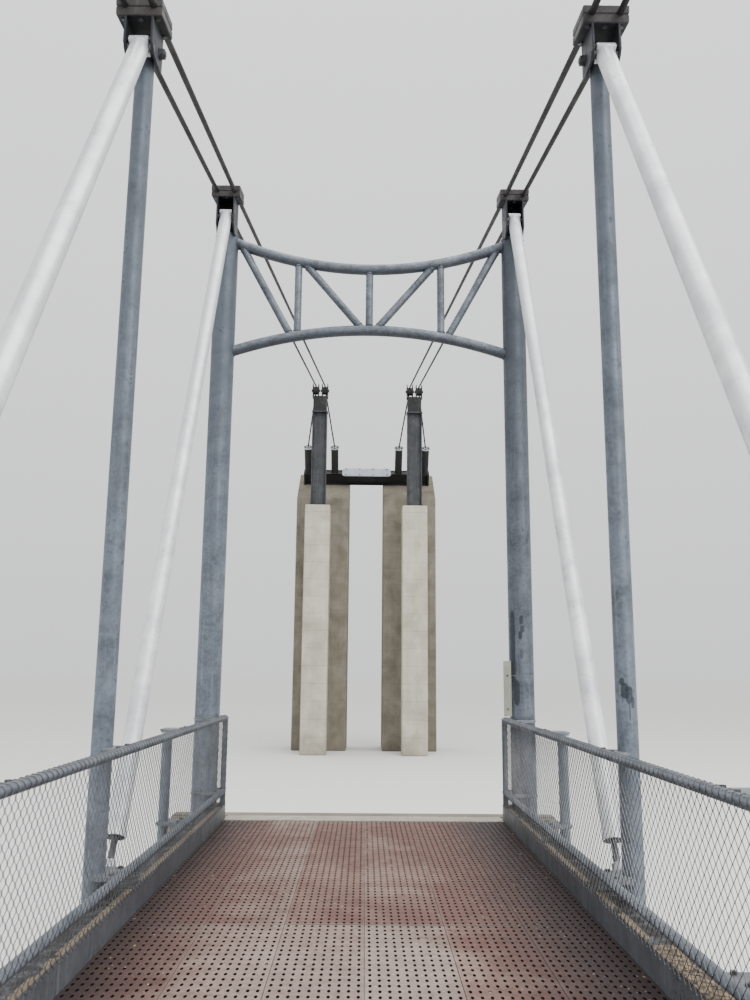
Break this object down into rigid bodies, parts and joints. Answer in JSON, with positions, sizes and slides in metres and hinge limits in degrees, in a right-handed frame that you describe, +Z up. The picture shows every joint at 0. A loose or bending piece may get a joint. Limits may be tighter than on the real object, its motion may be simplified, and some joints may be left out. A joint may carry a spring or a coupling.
{
  "type": "suspension footbridge, 1:2 scale model",
  "caption": "Cable-hung footbridge with pipe hangers and diagonals, arched truss portals, punched steel deck, wire mesh railings, masts and anchor frames.",
  "frame": {"origin": "on the level floor under the middle of the span, at the bottom centre of the bounding box", "axes": "+Y along the bridge, +X to the right when looking along +Y, +Z up"},
  "size_m": [2.62, 37.4, 6.625],
  "materials": {
    "galvanised_steel": "weathered blue-grey galvanised pipe with streaks and scuffs",
    "silver_pipe": "bright silver pipe, satin, light drip marks",
    "dark_steel": "dark blue-grey rolled steel, rubbed edges",
    "black_steel": "near black beam and tubes with pale end discs",
    "cable_steel": "dark brown weathered strand",
    "deck_steel": "punched steel plank, pinkish grey with red-brown wear and dirt",
    "frame_steel": "dark blue-grey steel, dirt on top flange",
    "threshold_steel": "pale worn steel strip",
    "woven_wire": "galvanised woven wire",
    "concrete": "cast concrete, board marks, stains",
    "sign_panel": "bare pale panel"
  },
  "bodies": {
    "root": {"portal_column_far_left": "galvanised_steel", "hanger_far_left_1": "galvanised_steel", "hanger_far_left_2": "galvanised_steel", "diagonal_far_left_1": "silver_pipe", "diagonal_far_left_2": "silver_pipe", "diagonal_far_left_3": "silver_pipe", "mast_far_left": "dark_steel", "mast_pier_far_left": "concrete", "anchor_block_far_left": "concrete", "portal_column_far_right": "galvanised_steel", "hanger_far_right_1": "galvanised_steel", "hanger_far_right_2": "galvanised_steel", "diagonal_far_right_1": "silver_pipe", "diagonal_far_right_2": "silver_pipe", "diagonal_far_right_3": "silver_pipe", "mast_far_right": "dark_steel", "mast_pier_far_right": "concrete", "anchor_block_far_right": "concrete", "portal_truss_far": "galvanised_steel", "anchor_frame_far": "black_steel", "abutment_far": "concrete", "threshold_plate_far": "threshold_steel", "portal_column_near_left": "galvanised_steel", "hanger_near_left_1": "galvanised_steel", "hanger_near_left_2": "galvanised_steel", "diagonal_near_left_1": "silver_pipe", "diagonal_near_left_2": "silver_pipe", "diagonal_near_left_3": "silver_pipe", "mast_near_left": "dark_steel", "mast_pier_near_left": "concrete", "anchor_block_near_left": "concrete", "portal_column_near_right": "galvanised_steel", "hanger_near_right_1": "galvanised_steel", "hanger_near_right_2": "galvanised_steel", "diagonal_near_right_1": "silver_pipe", "diagonal_near_right_2": "silver_pipe", "diagonal_near_right_3": "silver_pipe", "mast_near_right": "dark_steel", "mast_pier_near_right": "concrete", "anchor_block_near_right": "concrete", "portal_truss_near": "galvanised_steel", "anchor_frame_near": "black_steel", "abutment_near": "concrete", "threshold_plate_near": "threshold_steel", "hanger_middle_left": "galvanised_steel", "main_cable_left_inner": "cable_steel", "main_cable_left_outer": "cable_steel", "railing_left": "galvanised_steel", "rail_mesh_left": "woven_wire", "hanger_middle_right": "galvanised_steel", "main_cable_right_inner": "cable_steel", "main_cable_right_outer": "cable_steel", "railing_right": "galvanised_steel", "rail_mesh_right": "woven_wire", "deck": "deck_steel", "deck_frame": "frame_steel", "sign_plate": "sign_panel"}
  },
  "joints": []
}
